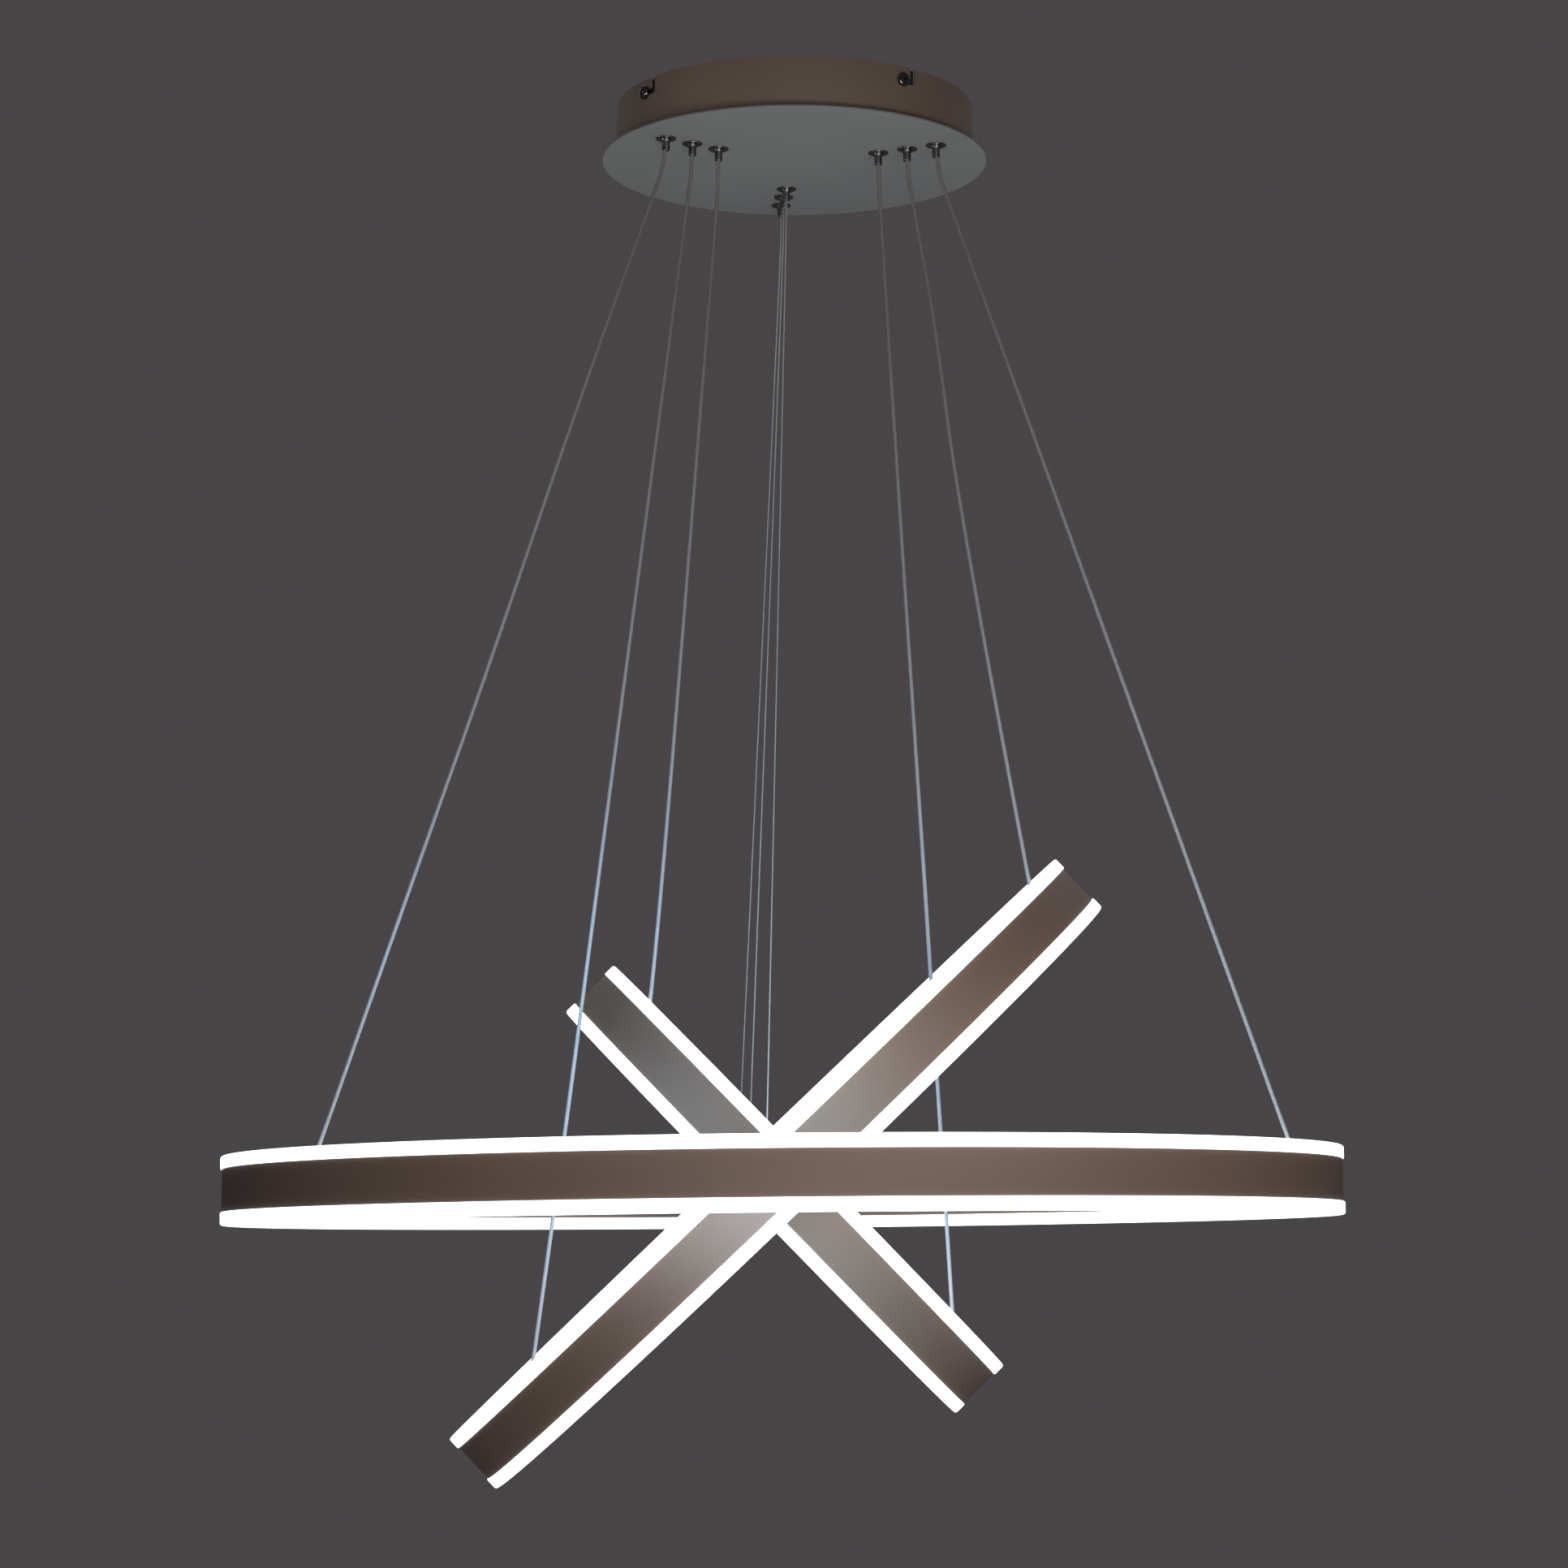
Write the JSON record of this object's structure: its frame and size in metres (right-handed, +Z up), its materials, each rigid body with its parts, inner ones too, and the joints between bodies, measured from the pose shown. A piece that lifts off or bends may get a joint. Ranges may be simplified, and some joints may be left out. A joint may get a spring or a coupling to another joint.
{
  "type": "led ceiling chandelier",
  "caption": "Ceiling chandelier of nested slim light rings, one level and others tilted opposite ways, hung on thin adjustable wires from a round flat canopy",
  "frame": {"origin": "Centre of the ceiling bracket's fixing circle, in the ceiling plane", "axes": "+Z up to the ceiling, -Y towards the picture's viewer, +X to the viewer's right; the light hangs below"},
  "size_m": [0.8003, 0.8006, 1.0078],
  "materials": {
    "bracket_zinc": "zinc plated, bright",
    "screw_steel": "plated, glossy",
    "terminal_plastic": "moulded, fine grain",
    "terminal_metal": "plain",
    "canopy_brown": "satin powder coat",
    "plate_white": "satin powder coat",
    "nut_steel": "plated",
    "driver_case": "moulded, fine grain",
    "grip_metal": "dark polished",
    "nozzle_metal": "dark polished",
    "spring_steel": "bright wire",
    "cable_clear": "clear jacket over pale conductors",
    "cable_steel": "fine stranded",
    "band_brown": "satin coffee lacquer",
    "diffuser_milky": "milky, lit from inside",
    "board_white": "white lacquer",
    "anchor_metal": "as extruded"
  },
  "bodies": {
    "bracket": {"ceiling_bracket": "bracket_zinc", "side_screws": "screw_steel", "terminal_block": "terminal_plastic", "terminal_screws": "terminal_metal"},
    "canopy": {"canopy_shell": "canopy_brown", "canopy_plate": "plate_white", "plate_nuts": "nut_steel", "grip_nuts": "nut_steel", "driver_large": "driver_case", "steel_wire_large_rear": "cable_steel", "power_wire_large_left": "cable_clear", "power_wire_large_right": "cable_clear", "driver_medium": "driver_case", "steel_wire_medium_rear": "cable_steel", "power_wire_medium_left": "cable_clear", "power_wire_medium_right": "cable_clear", "driver_small": "driver_case", "steel_wire_small_rear": "cable_steel", "power_wire_small_left": "cable_clear", "power_wire_small_right": "cable_clear", "cable_grips_rear": "grip_metal", "grip_spring_large_rear": "spring_steel", "grip_spring_medium_rear": "spring_steel", "grip_spring_small_rear": "spring_steel", "cable_grips_left": "grip_metal", "grip_spring_large_left": "spring_steel", "grip_spring_medium_left": "spring_steel", "grip_spring_small_left": "spring_steel", "cable_grips_right": "grip_metal", "grip_spring_large_right": "spring_steel", "grip_spring_medium_right": "spring_steel", "grip_spring_small_right": "spring_steel"},
    "large_ring": {"large_band": "band_brown", "large_top_diffuser": "diffuser_milky", "large_bottom_diffuser": "diffuser_milky", "large_top_boards": "board_white", "large_bottom_boards": "board_white", "large_wire_anchors": "anchor_metal"},
    "medium_ring": {"medium_band": "band_brown", "medium_top_diffuser": "diffuser_milky", "medium_bottom_diffuser": "diffuser_milky", "medium_top_boards": "board_white", "medium_bottom_boards": "board_white", "medium_wire_anchors": "anchor_metal"},
    "small_ring": {"small_band": "band_brown", "small_top_diffuser": "diffuser_milky", "small_bottom_diffuser": "diffuser_milky", "small_top_boards": "board_white", "small_bottom_boards": "board_white", "small_wire_anchors": "anchor_metal"},
    "nozzle_large_rear": {"grip_nozzle_large_rear": "nozzle_metal"},
    "nozzle_medium_rear": {"grip_nozzle_medium_rear": "nozzle_metal"},
    "nozzle_small_rear": {"grip_nozzle_small_rear": "nozzle_metal"},
    "nozzle_large_left": {"grip_nozzle_large_left": "nozzle_metal"},
    "nozzle_medium_left": {"grip_nozzle_medium_left": "nozzle_metal"},
    "nozzle_small_left": {"grip_nozzle_small_left": "nozzle_metal"},
    "nozzle_large_right": {"grip_nozzle_large_right": "nozzle_metal"},
    "nozzle_medium_right": {"grip_nozzle_medium_right": "nozzle_metal"},
    "nozzle_small_right": {"grip_nozzle_small_right": "nozzle_metal"}
  },
  "joints": [
    {"name": "canopy_twist", "type": "hinge", "parent": "bracket", "child": "canopy", "pos_m": [0, 0, 0], "axis": [0, 0, 1], "range_deg": [-3.9, 0]},
    {"name": "large_height", "type": "slide", "parent": "canopy", "child": "large_ring", "axis": [0, 0, 1], "range_m": [0, 0.4], "deforming": ["steel_wire_large_rear", "power_wire_large_left", "power_wire_large_right"]},
    {"name": "medium_height", "type": "slide", "parent": "canopy", "child": "medium_ring", "axis": [0, 0, 1], "range_m": [0, 0.12], "deforming": ["steel_wire_medium_rear", "power_wire_medium_left", "power_wire_medium_right"]},
    {"name": "small_height", "type": "slide", "parent": "canopy", "child": "small_ring", "axis": [0, 0, 1], "range_m": [0, 0.1], "deforming": ["steel_wire_small_rear", "power_wire_small_left", "power_wire_small_right"]},
    {"name": "large_rear_release", "type": "slide", "parent": "canopy", "child": "nozzle_large_rear", "axis": [0, 0, 1], "range_m": [0, 0.002], "stiffness_N_per_m": 400, "springref_m": -0.002, "deforming": ["grip_spring_large_rear"]},
    {"name": "medium_rear_release", "type": "slide", "parent": "canopy", "child": "nozzle_medium_rear", "axis": [0, 0, 1], "range_m": [0, 0.002], "stiffness_N_per_m": 400, "springref_m": -0.002, "deforming": ["grip_spring_medium_rear"]},
    {"name": "small_rear_release", "type": "slide", "parent": "canopy", "child": "nozzle_small_rear", "axis": [0, 0, 1], "range_m": [0, 0.002], "stiffness_N_per_m": 400, "springref_m": -0.002, "deforming": ["grip_spring_small_rear"]},
    {"name": "large_left_release", "type": "slide", "parent": "canopy", "child": "nozzle_large_left", "axis": [0, 0, 1], "range_m": [0, 0.002], "stiffness_N_per_m": 400, "springref_m": -0.002, "deforming": ["grip_spring_large_left"]},
    {"name": "medium_left_release", "type": "slide", "parent": "canopy", "child": "nozzle_medium_left", "axis": [0, 0, 1], "range_m": [0, 0.002], "stiffness_N_per_m": 400, "springref_m": -0.002, "deforming": ["grip_spring_medium_left"]},
    {"name": "small_left_release", "type": "slide", "parent": "canopy", "child": "nozzle_small_left", "axis": [0, 0, 1], "range_m": [0, 0.002], "stiffness_N_per_m": 400, "springref_m": -0.002, "deforming": ["grip_spring_small_left"]},
    {"name": "large_right_release", "type": "slide", "parent": "canopy", "child": "nozzle_large_right", "axis": [0, 0, 1], "range_m": [0, 0.002], "stiffness_N_per_m": 400, "springref_m": -0.002, "deforming": ["grip_spring_large_right"]},
    {"name": "medium_right_release", "type": "slide", "parent": "canopy", "child": "nozzle_medium_right", "axis": [0, 0, 1], "range_m": [0, 0.002], "stiffness_N_per_m": 400, "springref_m": -0.002, "deforming": ["grip_spring_medium_right"]},
    {"name": "small_right_release", "type": "slide", "parent": "canopy", "child": "nozzle_small_right", "axis": [0, 0, 1], "range_m": [0, 0.002], "stiffness_N_per_m": 400, "springref_m": -0.002, "deforming": ["grip_spring_small_right"]}
  ]
}
